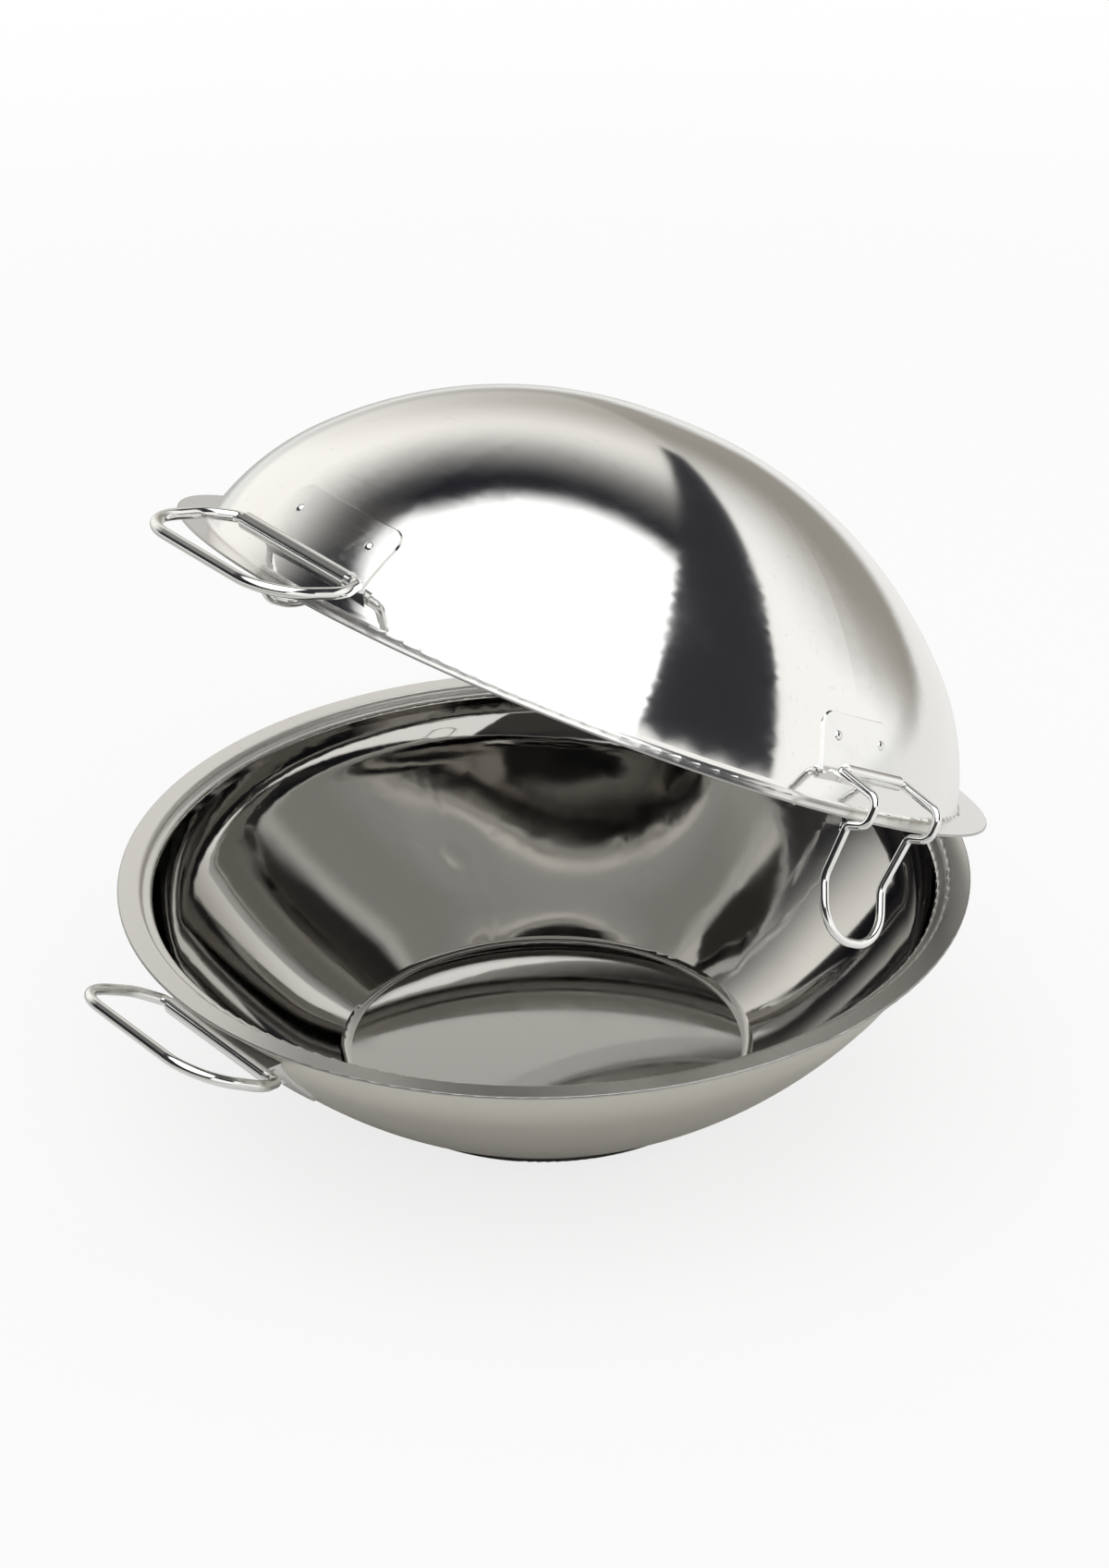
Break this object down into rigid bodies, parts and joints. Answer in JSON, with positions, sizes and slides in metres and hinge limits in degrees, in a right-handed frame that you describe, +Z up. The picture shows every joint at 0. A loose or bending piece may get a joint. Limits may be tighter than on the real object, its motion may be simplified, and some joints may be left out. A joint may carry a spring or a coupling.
{
  "type": "hinged clam pan",
  "caption": "Round two-shell steel cooking pan: domed lid hinged to a flat-bottomed bowl, with swinging ring handles at the front and spring-wire clamps at the sides.",
  "frame": {"origin": "middle of the underside of the base, on the surface that the pan stands on", "axes": "+Z up, +Y towards the hinge at the back, -Y towards the ring handles at the front, +X towards the right-hand clamp"},
  "size_m": [0.3256, 0.333, 0.2532],
  "materials": {
    "shell_steel": "polished stainless steel, mirror inside and fine satin outside",
    "base_steel": "satin stainless steel with fine turning rings",
    "core_aluminium": "plain sheet, hidden inside the base",
    "bracket_steel": "polished pressed sheet",
    "wire_steel": "bright drawn wire",
    "rivet_steel": "bright low domed heads"
  },
  "bodies": {
    "pan": {"pan_shell": "shell_steel", "base_core": "core_aluminium", "base_cap": "base_steel", "pan_front_bracket": "bracket_steel", "pan_front_rivets": "rivet_steel", "hinge_pan_leaf": "bracket_steel", "hinge_pan_rivets": "rivet_steel", "hinge_pin": "rivet_steel"},
    "lid": {"lid_shell": "shell_steel", "lid_front_bracket": "bracket_steel", "lid_front_rivets": "rivet_steel", "hinge_lid_leaf": "bracket_steel", "hinge_lid_rivets": "rivet_steel", "right_clamp_bracket": "bracket_steel", "right_clamp_rivets": "rivet_steel", "left_clamp_bracket": "bracket_steel", "left_clamp_rivets": "rivet_steel"},
    "pan_ring": {"pan_ring_handle": "wire_steel"},
    "lid_ring": {"lid_ring_handle": "wire_steel"},
    "right_clamp": {"right_clamp_wire": "wire_steel"},
    "left_clamp": {"left_clamp_wire": "wire_steel"}
  },
  "joints": [
    {"name": "lid_hinge", "type": "hinge", "parent": "pan", "child": "lid", "pos_m": [0, 0.1545, 0.079], "axis": [-1, 0, 0], "range_deg": [-28.8, 66.2]},
    {"name": "lid_ring_pivot", "type": "hinge", "parent": "lid", "child": "lid_ring", "pos_m": [0, -0.09788, 0.23235], "axis": [-1, 0, 0], "range_deg": [-41, 114]},
    {"name": "pan_ring_pivot", "type": "hinge", "parent": "pan", "child": "pan_ring", "pos_m": [0, -0.13885, 0.062], "axis": [-1, 0, 0], "range_deg": [-127, 15]},
    {"name": "right_clamp_pivot", "type": "hinge", "parent": "lid", "child": "right_clamp", "pos_m": [0.14167, 0.02571, 0.16544], "axis": [0, -0.8763, 0.4818], "range_deg": [-20, 110]},
    {"name": "left_clamp_pivot", "type": "hinge", "parent": "lid", "child": "left_clamp", "pos_m": [-0.14167, 0.02571, 0.16544], "axis": [0, 0.8763, -0.4818], "range_deg": [-20, 110]}
  ]
}
